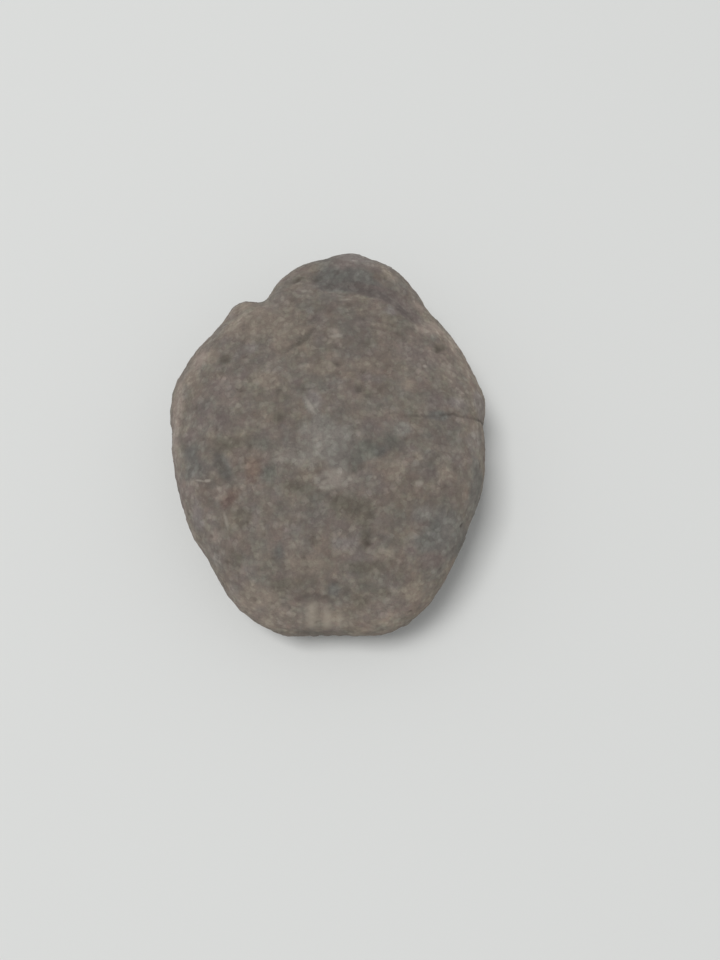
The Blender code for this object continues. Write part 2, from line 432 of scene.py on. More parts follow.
beside_lobe = soft_step(y, *LOBE_BACK) * (1 - soft_step(y - HEAD_BACK, *LOBE_FRONT))
carved += cut("lobe", side - half - FURROW_GAP, beside_lobe)
print("rings:", RINGS, "in the body and", TAIL_RINGS, "in the tail")

# %% [markdown]
# ## The back: the head
#
# In front of the rings lies the head: a deep groove across, a swollen middle with a furrow round it and
# three pairs of short ones on it, two eyes, and a border. The swellings are in the measured solid. Left and
# right are alike, so each stroke is drawn for one side only and read with the distance from the midline
# instead of x.

# %% Head
NECK = 1.6  # how far in front of the first ring the groove behind the head runs
MIDDLE_OF_HEAD = [(5.1, 10.0), (5.0, 11.8), (4.3, 13.8), (3.2, 15.6), (1.7, 16.8), (0.0, 17.2)]  # one side
HEAD_FURROWS = [[(4.6, 12.0), (2.6, 10.9)], [(4.0, 13.9), (2.5, 13.2)], [(3.3, 15.3), (2.3, 14.9)]]
EYE = (8.9, 10.7, 1.5, 2.0)  # place and half widths
ROUND_EYE = 1.2  # the eye's furrow runs round it at this many half widths
BORDER_SLOPE = -0.62  # the furrow inside the head's border runs where the skin faces down this far
NECK_END = (-1.0, 0.0)  # the groove sets in and is full: distance inside the lobe's border
BORDER_END = (9.0, 12.0)  # the same for the border's furrow: y

mirrored = np.stack([side, y], axis=1)
carved += cut("behind_head", y - HEAD_BACK - NECK, soft_step(half - side, *NECK_END))
strokes = [("middle_of_head", MIDDLE_OF_HEAD)] + [("head_furrow", path) for path in HEAD_FURROWS]
for name, path in strokes:
    depth, width = CUTS[name]
    carved += depth * stroke(mirrored, path, width)
eye_x, eye_y, eye_across, eye_along = EYE
from_eye = np.hypot((side - eye_x) / eye_across, (y - eye_y) / eye_along)
carved += cut("round_eye", from_eye - ROUND_EYE)
carved += cut("border", normals[:, 2] - BORDER_SLOPE, soft_step(y, *BORDER_END))
print("furrows on the head:", len(HEAD_FURROWS), "a side")

# %% [markdown]
# ## The back: wear
#
# The stream has worn the back unevenly, so a slow noise weakens the furrows here and there, and no furrow
# stays deeper than six tenths of a millimetre. Then the relief of both sides moves the points, along their
# normals. The furrows of the back are remembered with the hollows of the belly: the deeper they are, the
# darker their painted shade.

# %% Wear, and the relief put on
DEEPEST = 0.6
WEAR_SIZE, WEAR_SEED = 6.0, 3
MEAN_LEFT, LEFT_VARIES, LEAST_LEFT = 0.7, 0.7, 0.25  # shares of a furrow's depth
BACK_FROM, BACK_FULL = -0.1, 0.35  # how far down a point of the skin faces where the back's furrows set in

back = soft_step(-normals[:, 2], BACK_FROM, BACK_FULL)
unworn = np.clip(MEAN_LEFT + LEFT_VARIES * wander(points, WEAR_SIZE, WEAR_SEED), LEAST_LEFT, 1)
furrows = back * unworn * np.clip(carved, 0, DEEPEST)
relief -= furrows
hollow_shade = np.maximum(hollow_shade, furrows / DEEPEST)
points += relief[:, None] * normals
put_points(stone, points)
print("deepest furrow of the back, mm:", furrows.max().round(2))

# %% [markdown]
# ## Pits and grains
#
# Where grains have dropped out of the rock there are pits about half a millimetre wide, and harder grains
# stand proud. They are strewn over the whole stone by a seeded generator, so that they fall in the same
# places each time. Most are small: the radius comes from a random number squared. Two weights remember
# where they are, because pits are painted darker, as shade, and grains are pale.

# %% Pits and grains
PITS = (380, 0.2, 0.45, -0.15)  # how many, smallest and largest radius, rise
GRAINS = (420, 0.16, 0.32, 0.07)
OVAL = (0.7, 1.3)  # each one is squeezed or drawn out by up to this much along each axis
FAINTEST = 0.4
REACH = 3  # in radii: beyond this a spot is as good as gone
SEED = 11

random = np.random.default_rng(SEED)


def strew(points, normals, many, smallest, largest, rise):
    """Presses or raises soft round spots at random places, and returns their weight at each point."""
    weight = np.zeros(len(points))
    for middle in points[random.integers(len(points), size=many)]:
        radius = smallest + (largest - smallest) * random.random() ** 2
        near = np.flatnonzero(np.abs(points - middle).max(axis=1) < REACH * radius)
        stretched = (points[near] - middle) * random.uniform(*OVAL, 3)
        found = np.exp(-((stretched / radius) ** 2).sum(axis=1)) * random.uniform(FAINTEST, 1)
        weight[near] = np.maximum(weight[near], found)
    points += rise * weight[:, None] * normals
    return weight


normals = normals_of(stone)
pits = strew(points, normals, *PITS)
grains = strew(points, normals, *GRAINS)
put_points(stone, points)
print("pits and grains cover", (100 * (np.maximum(pits, grains) > 0.5).mean()).round(1), "% of the stone")

# %% [markdown]
# ## Grit
#
# Last in the shape comes the grit of the limestone, which can be felt but hardly seen. It is made in the
# mesh too, so that the outline of the stone is rough where it should be. All this has moved the surface in
# and out a little, so the stone is then fitted back to the measured box, to the last hundredth.

# %% Grit, and the fit to the measured box
GRIT = [(1.0, 0.16, 2), (0.45, 0.09, 1)]
for size, height, depth in GRIT:
    displace(stone, size, height, depth)

points = points_of(stone)
low, high = (np.array(corner) / MM for corner in cad_box)
shrink = (high - low) / np.ptp(points, axis=0)
points = low + (points - points.min(axis=0)) * shrink
put_points(stone, points)
print("fitted by", shrink.round(4))

# %% [markdown]
# ## Stains
#
# A limestone fossil is brown-grey, but no two millimetres of it are the same brown. Where the rind is worn
# it is tan or pinkish, where clay is left it is blue-grey, iron has run out of small grains in rusty spots,
# the furrow behind the head's border is painted darker, as shade, and the boss in the middle has been rubbed
# to a paler grey, with painted light on its side towards the lamp. On the lower right rim the blue-grey is
# painted shade of the flank that faces away from the lamp. Where each of them lies is a matter of this one
# stone, so each stain is a handful of soft spots. The material breaks up their edges later.

# %% Stains
# Each stain is a list of spots: x, y, the two half widths, turn and strength.
STAINS = {
    "tan": [
        (-9.0, 9.7, 2.8, 1.2, 28, 0.7), (-6.4, 9.4, 2.2, 1.3, 10, 0.9), (-3.9, 14.0, 1.2, 0.9, 20, 0.6),
        (-4.1, 8.6, 1.3, 1.0, 20, 0.8), (6.0, 16.4, 2.0, 1.0, -40, 0.8), (-6.2, 3.3, 1.5, 0.9, 0, 0.7),
        (-5.6, -17.6, 1.8, 1.0, -30, 0.8), (8.1, -17.1, 1.3, 0.8, 20, 0.9), (6.6, -6.2, 1.1, 1.2, 20, 0.8),
        (11.3, -6.4, 1.1, 1.1, 0, 0.7), (-2.0, -14.9, 2.0, 0.8, 0, 1.0), (8.3, 2.6, 0.8, 1.2, 0, 0.6),
        (-2.7, -13.1, 1.0, 0.8, 0, 0.5), (5.4, -14.0, 1.4, 0.8, 0, 0.6), (-11.2, -2.6, 0.8, 0.9, 0, 0.6),
        (-5.4, -9.6, 1.2, 1.4, 0, 0.5), (8.8, -4.9, 0.8, 0.7, 0, 0.6), (0.1, -19.2, 2.6, 0.8, -3, 0.5),
        (-11.7, 6.1, 0.9, 0.9, 0, 1.0), (3.9, 4.8, 1.4, 0.8, 10, 1.0), (-5.4, 2.5, 0.8, 0.7, 0, 0.8),
        (-0.5, 4.2, 1.5, 0.8, 0, 1.0), (3.5, -0.6, 0.8, 0.6, 0, 0.5), (3.5, 10.5, 0.9, 0.7, 0, 0.7),
        (-13.6, 4.3, 0.8, 1.0, 0, 1.0), (-7.6, -17.6, 0.9, 1.4, -20, 1.0), (-4.5, 6.8, 0.9, 1.0, 0, 0.9),
        (-9.1, 12.3, 0.9, 0.8, 0, 1.0), (-2.4, 8.3, 0.8, 0.6, 0, 0.8), (-5.6, -19.5, 1.2, 0.7, 0, 0.8),
    ],
    "pink": [
        (-15.2, 0.4, 0.8, 4.5, 0, 0.7), (-13.0, 6.1, 0.9, 1.2, -25, 1.0), (12.7, 9.2, 1.0, 2.6, 35, 0.5),
        (14.2, 5.8, 0.7, 1.6, 20, 0.4), (12.2, 5.4, 1.1, 2.4, 25, 0.5), (13.2, 1.5, 0.8, 1.0, 0, 0.5),
        (-10.0, -8.2, 0.9, 0.7, 0, 1.0), (10.6, 10.4, 1.2, 0.9, -20, 0.6), (-9.4, 0.8, 0.9, 0.7, 0, 0.5),
        (-10.7, -12.0, 0.8, 0.7, 0, 0.7), (-7.4, 7.9, 1.0, 0.6, 30, 0.4), (9.6, 9.5, 0.9, 0.7, -30, 0.6),
        (9.5, 13.0, 0.8, 0.8, 0, 0.7),
    ],
    # blue-grey clay, and painted shade: the six spots on the lower right rim, x above 10.5 and y below -2,
    # stand for the flank in shade
    "blue_grey_and_shade": [
        (0.4, 15.4, 2.0, 1.7, 0, 1.0), (3.2, 15.0, 1.8, 1.8, -20, 0.9), (5.2, 14.2, 0.9, 0.8, -30, 0.6),
        (-13.2, -3.8, 0.9, 1.0, 0, 0.7), (-12.8, -5.8, 1.8, 1.2, 0, 0.7), (-9.8, -5.6, 0.6, 1.5, 28, 1.0),
        (11.4, -11.2, 2.2, 1.9, -20, 0.9), (14.9, -6.4, 1.0, 3.4, 5, 0.8), (11.0, -0.4, 1.4, 0.6, 10, 0.9),
        (0.8, -17.0, 0.8, 0.8, 0, 0.8), (-4.2, -13.8, 0.7, 1.1, 0, 0.6), (9.6, -12.9, 1.6, 1.0, 0, 0.8),
        (2.9, -4.9, 1.0, 0.9, 0, 0.8), (5.2, -4.3, 1.2, 0.6, 15, 0.7), (-0.4, 18.6, 1.4, 1.0, 0, 0.7),
        (6.6, 11.6, 0.7, 0.5, 0, 0.6), (15.5, -2.2, 0.6, 1.8, 0, 0.3), (14.3, -8.6, 0.8, 1.8, -15, 0.45),
        (12.7, -12.2, 0.8, 1.8, -28, 0.5), (10.7, -15.1, 0.8, 1.4, -38, 0.5), (2.4, 14.2, 1.0, 0.7, 0, 0.8),
        (0.2, 14.0, 0.9, 0.6, 0, 0.9),
    ],
    "lilac": [
        (-8.9, -16.6, 0.8, 1.4, -30, 0.4), (-10.8, -13.8, 0.8, 1.6, 20, 0.3),
        (2.6, 18.4, 2.2, 1.6, -10, 0.9), (-1.2, 0.8, 0.9, 1.2, 20, 0.8), (12.6, 1.3, 1.4, 0.8, 0, 0.7),
        (15.6, 2.4, 0.8, 1.4, 0, 1.2), (-12.4, -10.0, 0.8, 1.6, 15, 0.7), (1.9, -12.9, 1.4, 0.7, 0, 0.7),
        (6.5, 11.1, 0.9, 0.7, 0, 0.8), (4.9, 3.2, 0.9, 0.6, 0, 0.5), (-7.6, 6.7, 1.4, 0.9, 10, 0.5),
        (-6.9, -10.4, 1.2, 1.4, 0, 0.5), (14.6, -1.8, 1.0, 2.4, 0, 0.5), (12.6, -4.4, 1.0, 1.2, 0, 0.4),
    ],
    "purple": [
        (3.6, 13.9, 2.2, 0.7, -10, 0.9), (6.6, 13.1, 2.0, 0.9, -35, 1.0), (8.6, 11.4, 1.4, 0.8, -35, 1.0),
        (10.2, -14.2, 1.3, 0.8, 20, 1.0), (1.6, 17.0, 1.6, 1.0, 0, 0.7), (5.0, 16.6, 1.2, 0.8, -30, 0.6),
        (10.6, 1.2, 1.2, 0.9, 40, 0.8), (8.6, 6.2, 2.6, 2.2, 30, 0.5), (3.9, 3.3, 0.8, 0.6, 0, 0.8),
        (-1.1, 9.8, 1.0, 0.8, 0, 0.6), (-10.6, 2.6, 1.8, 1.4, 0, 0.7), (-2.9, 2.7, 0.9, 0.6, 0, 0.7),
        (10.0, -6.3, 0.8, 0.8, 0, 0.7), (1.2, -11.4, 1.4, 0.9, 0, 0.6), (-9.8, -0.8, 1.2, 1.6, 0, 0.7),
        (3.0, 9.6, 2.2, 1.4, 0, 0.4), (5.4, 13.1, 1.2, 0.7, -20, 0.8), (7.6, 11.7, 0.9, 0.7, -35, 0.8),
        (-13.3, -2.1, 0.9, 0.8, 0, 0.9), (-13.3, -7.4, 0.8, 0.8, 0, 0.8), (5.2, -19.1, 0.9, 0.6, 0, 0.6),
        (8.0, -13.5, 0.9, 0.7, 0, 0.7),
    ],
    "green_grey": [
        (3.8, -4.2, 1.3, 1.0, 0, 1.0), (6.2, -3.3, 0.9, 0.9, 0, 0.6), (4.6, 0.3, 2.4, 1.0, 0, 0.4),
        (-0.8, -1.6, 0.9, 0.6, 0, 0.6), (2.8, -5.8, 0.4, 1.0, 0, 0.8), (-5.3, -6.6, 0.9, 1.0, 0, 0.8),
        (-2.4, 11.2, 1.0, 0.8, 0, 0.6), (9.4, -12.4, 1.2, 0.6, 0, 0.4), (-11.8, 1.0, 0.8, 0.8, 0, 0.4),
        (-6.2, -3.6, 1.4, 0.9, 0, 0.5), (3.6, -16.8, 1.0, 0.7, 0, 0.6),
    ],
    # paler grey of the worn boss; the spots left of its crest, x up to 1.2 and y from -5.2 to 0.3, are also
    # painted light on the slope facing the lamp
    "boss_grey_and_light": [
        (-0.9, -4.2, 3.2, 2.8, 10, 0.4), (-1.7, 0.3, 0.4, 1.3, 30, 0.9), (-0.5, -1.8, 0.9, 0.9, 0, 0.7),
        (1.2, -3.3, 1.6, 1.2, -10, 1.0), (1.2, -5.2, 0.9, 1.4, 20, 1.0), (-2.6, -4.9, 1.6, 1.1, 10, 0.4),
        (7.5, -2.1, 0.9, 0.8, 0, 1.0), (-1.8, 10.8, 0.6, 0.5, 0, 0.6), (9.2, -10.2, 1.3, 0.8, 10, 0.9),
    ],
    "brown": [
        (-9.2, -3.4, 1.8, 0.8, 0, 0.8), (-4.6, -0.9, 0.8, 0.7, 0, 0.8), (1.9, -9.3, 1.8, 1.0, 0, 0.9),
        (3.9, -10.4, 0.9, 0.9, 0, 1.0), (3.8, -12.6, 0.6, 1.0, 0, 0.9), (3.6, -15.1, 2.4, 0.7, 0, 0.8),
        (-3.6, -16.4, 2.6, 0.7, 0, 0.6), (-8.6, -14.2, 1.4, 1.2, 0, 0.5), (-2.8, -7.8, 1.6, 0.7, 0, 0.7),
        (-10.0, -5.6, 0.7, 1.4, 25, 0.4), (-7.7, -10.5, 1.0, 0.9, 0, 1.0), (11.6, 7.9, 0.9, 0.5, 20, 0.8),
        (-10.2, 5.7, 0.8, 0.7, 0, 0.8), (-3.0, 15.2, 0.9, 0.5, 0, 0.7), (-4.5, 1.7, 0.6, 0.5, 0, 0.5),
        (5.6, -17.2, 1.2, 0.6, 0, 0.6), (3.2, -18.0, 0.9, 0.7, 0, 0.9),
    ],
    # painted shade in the furrow behind the head's border
    "furrow_shade": [
        (2.5, 14.1, 1.3, 0.8, 0, 0.7), (4.0, 13.4, 1.2, 0.7, -10, 0.9), (5.5, 13.0, 1.2, 0.7, -20, 0.9),
        (7.6, 11.6, 1.0, 0.7, -35, 0.8), (0.2, 14.0, 0.9, 0.6, 0, 0.9),
    ],
    "iron": [
        (-6.9, -5.9, 0.9, 1.4, 5, 1.0), (-9.0, -8.6, 1.1, 0.7, 30, 0.8),
    ],
    "rust": [
        (-9.4, -9.1, 0.6, 0.5, 35, 0.9), (-7.1, -7.0, 0.5, 0.5, 0, 0.8), (-8.5, -8.4, 0.8, 0.3, 35, 0.6),
    ],
    "dusty": [
        (-2.8, -4.4, 1.2, 1.1, 10, 0.5), (0.8, -7.1, 1.9, 0.9, 5, 1.1), (0.0, -7.5, 0.5, 0.5, 0, 0.6),
        (0.6, 8.4, 0.8, 0.5, 0, 0.6),
    ],
}

print("spots of stain:", sum(len(spots) for spots in STAINS.values()))

# %% [markdown]
# ## Values kept on the mesh
#
# What the material has to know about a place is kept as an attribute with one value for each point: the
# stains, the rib ends, the painted shade in hollows and pits, the grains, and the crack's distance and
# depth.
# The ribs are left out of that shade. Painted light makes the rim paler where it is steep, most of all on
# the right, the side away from the lamp, where the flank is in shade.

# %% Values kept on the mesh
STAINED_FROM, STAINED_FULL = -0.3, 0.1  # how far up a point of the skin faces where the stains set in
# Painted light: the steep rim is made paler, most on the right, the side away from the lamp, which is in
# shade.
RIM_LIGHT_TOWARDS, MOST_RIM_LIGHT = math.radians(-15), 0.8
LEVEL_END, STEEP_FROM = 0.92, 0.5  # the upward part of the normal where the painted rim light sets in and is full
UNDER_NONE, UNDER_FULL = -0.6, -0.2  # the same at its lower border, under the flank
RIM_LIGHT_NONE, RIM_LIGHT_FULL = -0.1, 0.8  # the cosine of the angle from the direction where the rim gets the most painted light

points, normals = points_of(stone), normals_of(stone)
belly = soft_step(normals[:, 2], STAINED_FROM, STAINED_FULL)
stone_values = {}
for name, spots in STAINS.items():
    weight = sum(strength * spot(points, *place) for *place, strength in spots)
    stone_values[name] = belly * np.clip(weight, 0, 1)

bearing = np.arctan2(points[:, 1], points[:, 0])
rim_light_side = soft_step(np.cos(bearing - RIM_LIGHT_TOWARDS), RIM_LIGHT_NONE, RIM_LIGHT_FULL)
steep = soft_step(-normals[:, 2], -LEVEL_END, -STEEP_FROM) * soft_step(normals[:, 2], UNDER_NONE, UNDER_FULL)
stone_values |= {
    "ribs": ribs,
    # painted shade in narrow hollows and the back's furrows, none on the ribs
    "hollow_shade": hollow_shade * (1 - ribs),
    # pits are painted darker, as shade, except in the row of ribs
    "pits": pits * (1 - rib_row),
    "grains": grains,
    "crack_offset": crack_offset,
    "crack_depth": crack_depth,
    "belly": belly,
    "painted_rim_light": MOST_RIM_LIGHT * steep * rim_light_side,
}
for name, values in stone_values.items():
    attribute = stone.data.attributes.new(name, "FLOAT", "POINT")
    attribute.data.foreach_set("value", values.astype(np.float32))
print("values kept on the mesh:", len(stone_values))

# %% [markdown]
# ## Fossil limestone
#
# The stone is a fine-grained, clayey limestone, tumbled by water and never polished. It is matt and its
# colour carries the look: blotches of a few millimetres, a mottle inside them, and grains and pits down to
# a tenth of a millimetre. Every octave of that mottle is about as strong as the one before, which is what a
# high Roughness of the noise gives.
#
# Two small functions come first. One turns a hex colour to the linear values that a shader takes. The other
# adds a node with its settings and links, so that a whole material can be read as a list.

# %% Colours and nodes


def linear(code):
    """An sRGB colour, as a hex code, in the linear values that a shader takes."""
    parts = [int(code[k : k + 2], 16) / 255 for k in (1, 3, 5)]
    parts = [part / 12.92 if part <= 0.04045 else ((part + 0.055) / 1.055) ** 2.4 for part in parts]
    return (*parts, 1.0)


def add_node(tree, kind, links=(), **settings):
    """Adds a node. Its settings are set, and each socket takes a value or another node's output."""
    made = tree.nodes.new(kind)
    for name, value in settings.items():
        setattr(made, name, value)
    for socket, value in dict(links).items():
        if isinstance(value, bpy.types.NodeSocket):
            tree.links.new(value, made.inputs[socket])
        else:
            made.inputs[socket].default_value = value
    return made


material = bpy.data.materials.new("fossil_limestone")
material.use_nodes = True
tree = material.node_tree
shader = tree.nodes["Principled BSDF"]
place = add_node(tree, "ShaderNodeTexCoord").outputs["Object"]
kept = {}
for name in stone_values:
    kept[name] = add_node(tree, "ShaderNodeAttribute", attribute_name=name).outputs["Fac"]
print("values read from the mesh:", len(kept))

# %% [markdown]
# ## The mottle
#
# All the noises read the object's own space, and differ only in size, detail, roughness and seed. `tone` is
# the light and dark mottle, `warmth` and `greenness` turn the brown towards tan, pinkish brown or
# green-grey, `edges` breaks up the stains, and the others are grains and grit.

# %% Noises
NOISES = {  # size in millimetres, detail, roughness
    "tone": (2.4, 7.0, 0.84),
    "warmth": (3.2, 5.0, 0.7),
    "greenness": (2.2, 5.0, 0.7),
    "edges": (1.8, 4.0, 0.7),
    "dark_grains": (0.8, 5.0, 0.72),
    "pale_grains": (0.6, 4.0, 0.6),
    "grit": (0.3, 3.0, 0.6),
}
noises = {}
for seed, (name, (size, detail, roughness)) in enumerate(NOISES.items()):
    links = {"Vector": place, "W": seed, "Scale": 1 / (size * MM), "Detail": detail, "Roughness": roughness}
    noises[name] = add_node(tree, "ShaderNodeTexNoise", links, noise_dimensions="4D").outputs["Fac"]
print("noises:", len(noises))

# %% [markdown]
# ## Packed grains
#
# Seen close, such limestone is made of packed, rounded grains half a millimetre wide, broken bits of shell
# mostly. A Voronoi texture packs cells like that, and gives each a random value. The cells' straight
# borders are bent by a little noise added to the place. The grains change the tone by about a tenth.

# %% Packed grains
GRAIN_WIDTH, GRAIN_BEND = 0.55, 0.35
BEND_SIZE, BEND_DETAIL = 0.8, 2.0
DARK_JOINTS = -0.8  # how much darker a grain gets towards its border

links = {"Vector": place, "Scale": 1 / (BEND_SIZE * MM), "Detail": BEND_DETAIL}
bend = add_node(tree, "ShaderNodeTexNoise", links).outputs["Color"]
links = {0: bend, 1: (GRAIN_BEND * MM,) * 3, 2: place}
bent = add_node(tree, "ShaderNodeVectorMath", links, operation="MULTIPLY_ADD").outputs[0]
cells = add_node(tree, "ShaderNodeTexVoronoi", {"Vector": bent, "Scale": 1 / (GRAIN_WIDTH * MM)})
parts = add_node(tree, "ShaderNodeSeparateColor", {"Color": cells.outputs["Color"]})
links = {0: cells.outputs["Distance"], 1: DARK_JOINTS, 2: parts.outputs[0]}
packed = add_node(tree, "ShaderNodeMath", links, operation="MULTIPLY_ADD").outputs[0]
print("grains of", GRAIN_WIDTH, "mm")

# %% [markdown]
# ## From heights to colours
#
# A Color Ramp gives each height of a noise its colour. Two of the ramps hold the browns of the limestone.
# The other two hold greys on both sides of #BCBCBC, which reflects half of the light: they are laid over
# the browns as shade and light, and that grey changes nothing.

# %% Colour ramps
RAMPS = {  # where the value has this height, this colour
    "tone": (noises["tone"], [(0.36, "#A2A2A2"), (0.47, "#B2B2B1"), (0.53, "#BCBCBB"), (0.66, "#D3D2CF")]),
    "warmth": (noises["warmth"], [(0.36, "#7B7774"), (0.64, "#85796C")]),
    "greenness": (noises["greenness"], [(0.36, "#7B7A6F"), (0.64, "#847772")]),
    "packed": (packed, [(0.0, "#B1AEAE"), (0.4, "#BBBCBA"), (0.8, "#C8C7C8")]),
}
colours = {}
for name, (height, stops) in RAMPS.items():
    made = add_node(tree, "ShaderNodeValToRGB", {"Fac": height})
    while len(made.color_ramp.elements) < len(stops):
        made.color_ramp.elements.new(0.5)
    for stop, (position, code) in zip(made.color_ramp.elements, stops):
        stop.position = position
        stop.color = linear(code)
    colours[name] = made.outputs["Color"]
print("ramps:", len(colours))

# %% [markdown]
# ## Stains under the mottle
#
# The stains are laid first and the mottle over them, as Overlay, which makes what is under it lighter or
# darker and keeps its hue. That way a stain never looks like flat paint. Each stain's edge is the value on
# the mesh plus noise, so that it runs out in islands.

# %% Stains under the mottle
FACTOR, FIRST, SECOND, MIXED = 0, 6, 7, 2  # the sockets of a Mix node that mixes colours
STAIN_COLOURS = {  # colour and strength, in the order in which they are laid
    "tan": ("#90867B", 0.9),
    "pink": ("#9B9087", 0.85),
    "blue_grey_and_shade": ("#74726E", 1.0),
    "lilac": ("#88827F", 0.9),
    "purple": ("#79706C", 0.9),
    "green_grey": ("#72716A", 0.9),
    "boss_grey_and_light": ("#8B8781", 0.95),
    "brown": ("#6F695F", 0.85),
    "furrow_shade": ("#655F5C", 0.7),
    "dusty": ("#99928A", 1.0),
    "iron": ("#89796E", 0.95),
    "rust": ("#786861", 0.95),
}
EDGE_SPREAD = 1.0  # how far noise moves a stain's edge
EDGE_FROM, EDGE_FULL = 0.1, 0.75  # the weight where a stain sets in and is full
RIM_LIGHT_GREY = "#D8D6D2"  # painted light on the rim: laid over as light, this makes what is under it a third lighter


def lay(under, code, mask, strength):
    """Lays a colour over what is under it, where the mask is 1."""
    amount = add_node(tree, "ShaderNodeMath", {0: mask, 1: strength}, operation="MULTIPLY").outputs[0]
    links = {FACTOR: amount, FIRST: under, SECOND: linear(code)}
    return add_node(tree, "ShaderNodeMix", links, data_type="RGBA").outputs[MIXED]


def stain(under, name, code, strength):
    """Lays a stain where the mesh keeps its value, with an edge broken by noise."""
    centred = add_node(tree, "ShaderNodeMath", {0: noises["edges"], 1: -0.5}, operation="ADD").outputs[0]
    links = {0: centred, 1: EDGE_SPREAD, 2: kept[name]}
    spread = add_node(tree, "ShaderNodeMath", links, operation="MULTIPLY_ADD").outputs[0]
    links = {"Value": spread, "From Min": EDGE_FROM, "From Max": EDGE_FULL}
    mask = add_node(tree, "ShaderNodeMapRange", links, interpolation_type="SMOOTHSTEP").outputs["Result"]
    return lay(under, code, mask, strength)


links = {FACTOR: 0.5, FIRST: colours["warmth"], SECOND: colours["greenness"]}
colour = add_node(tree, "ShaderNodeMix", links, data_type="RGBA").outputs[MIXED]
for name, (code, strength) in STAIN_COLOURS.items():
    colour = stain(colour, name, code, strength)
# the mottle's tone, the painted light on the rim, and the packed grains
lights = [(1.0, colours["tone"]), (kept["painted_rim_light"], linear(RIM_LIGHT_GREY)), (1.0, colours["packed"])]
for amount, light in lights:  # how much of it, and the grey that lightens or darkens
    links = {FACTOR: amount, FIRST: colour, SECOND: light}
    colour = add_node(tree, "ShaderNodeMix", links, data_type="RGBA", blend_type="OVERLAY").outputs[MIXED]
print("stains:", len(STAIN_COLOURS))

# %% [markdown]
# ## Grains, pits and the crack
#
# Over the mottle come the things with a clear shape. Dark and pale grains are a noise cut off high. The rib
# ends are smooth and pale. Pits and furrows are painted darker, as shade. The crack is too thin for the
# skin's points, but its distance was kept with a sign, and a distance stays true between the points, so the
# material can draw a line thinner than a quad.

# %% Grains, pits and the crack
COLOURED_GRAINS = {  # colour, strength, and the heights of the noise where they set in and are full
    "dark_grains": ("#4B4440", 0.38, 0.55, 0.72),
    "pale_grains": ("#A29C94", 0.23, 0.58, 0.74),
}
for name, (code, strength, sets_in, full) in COLOURED_GRAINS.items():
    links = {"Value": noises[name], "From Min": sets_in, "From Max": full}
    mask = add_node(tree, "ShaderNodeMapRange", links, interpolation_type="SMOOTHSTEP").outputs["Result"]
    colour = lay(colour, code, mask, strength)

MARKS = {  # colour and strength
    "ribs": ("#A69C8E", 0.6),
    "grains": ("#A29C95", 0.22),
    # hollows and pits: painted shade, darkest where they are deepest
    "hollow_shade": ("#4A443F", 0.5),
    "pits": ("#453C35", 0.4),
}
for name, (code, strength) in MARKS.items():
    colour = lay(colour, code, kept[name], strength)

CRACK_LINE, CRACK_SOFT = 0.02, 0.27  # half widths: full within the first, gone outside the second
CRACK_COLOUR, CRACK_STRENGTH = "#3A322C", 0.55
apart = add_node(tree, "ShaderNodeMath", {0: kept["crack_offset"]}, operation="ABSOLUTE").outputs[0]
links = {"Value": apart, "From Min": CRACK_SOFT, "From Max": CRACK_LINE, "To Max": 1.0}
mask = add_node(tree, "ShaderNodeMapRange", links, interpolation_type="SMOOTHSTEP").outputs["Result"]
mask = add_node(tree, "ShaderNodeMath", {0: mask, 1: kept["crack_depth"]}, operation="MULTIPLY").outputs[0]
colour = lay(colour, CRACK_COLOUR, mask, CRACK_STRENGTH)
print("marks:", len(MARKS) + len(COLOURED_GRAINS) + 1)

# %% [markdown]
# ## Flecks
#
# A few pale splinters of shell and single bright grains catch the eye, most about a millimetre long.
# Each is an ellipse: a Mapping node moves, turns and scales the space so that the fleck becomes a ball of
# radius 1, and the length of the vector tells inside from outside. Upwards the scale is so large that
# height doesn't matter.

# %% Flecks
FLECKS = [  # x, y, half length, half width, turn, strength
    (-11.3, -6.9, 0.35, 0.14, -5, 0.45),
    (-12.1, -6.8, 0.35, 0.1, -15, 0.35),
    (-9.4, -10.7, 0.7, 0.16, 105, 0.3),
    (8.9, -7.4, 0.34, 0.3, 0, 0.35),
    (9.8, 5.1, 0.2, 0.18, 0, 0.4),
    (0.9, 7.8, 0.6, 0.25, 8, 0.3),
    (4.7, -6.9, 0.16, 0.16, 0, 0.25),
    (-2.5, 13.3, 0.3, 0.2, 0, 0.3),
    (1.8, 12.1, 0.6, 0.14, 5, 0.2),
    (-1.5, 0.0, 0.2, 0.9, 28, 0.3),
    (2.3, -7.1, 0.25, 0.2, 0, 0.3),
    (-0.1, -7.4, 0.25, 0.2, 30, 0.3),
]
TALL = 1000.0
FLECK_COLOUR = "#B8B1A6"
FLECK_RIM, FLECK_HEART = 2.1, 0.9  # the length of the vector where a fleck sets in and is full


def fleck(under, x, y, half_length, half_width, turn, strength):
    """Lays a pale ellipse on the belly, a little ragged."""
    links = {
        "Vector": place,
        "Location": (x * MM, y * MM, 0),
        "Rotation": (0, 0, math.radians(turn)),
        "Scale": (half_length * MM, half_width * MM, TALL * MM),
    }
    inside = add_node(tree, "ShaderNodeMapping", links, vector_type="TEXTURE").outputs[0]
    reach = add_node(tree, "ShaderNodeVectorMath", {0: inside}, operation="LENGTH").outputs["Value"]
    ragged = add_node(tree, "ShaderNodeMath", {0: noises["grit"], 1: reach}, operation="ADD").outputs[0]
    links = {"Value": ragged, "From Min": FLECK_RIM, "From Max": FLECK_HEART, "To Max": 1.0}
    mask = add_node(tree, "ShaderNodeMapRange", links, interpolation_type="SMOOTHSTEP").outputs["Result"]
    mask = add_node(tree, "ShaderNodeMath", {0: mask, 1: kept["belly"]}, operation="MULTIPLY").outputs[0]
    return lay(under, FLECK_COLOUR, mask, strength)


for shape in FLECKS:
    colour = fleck(colour, *shape)
tree.links.new(colour, shader.inputs["Base Color"])
print("flecks:", len(FLECKS))

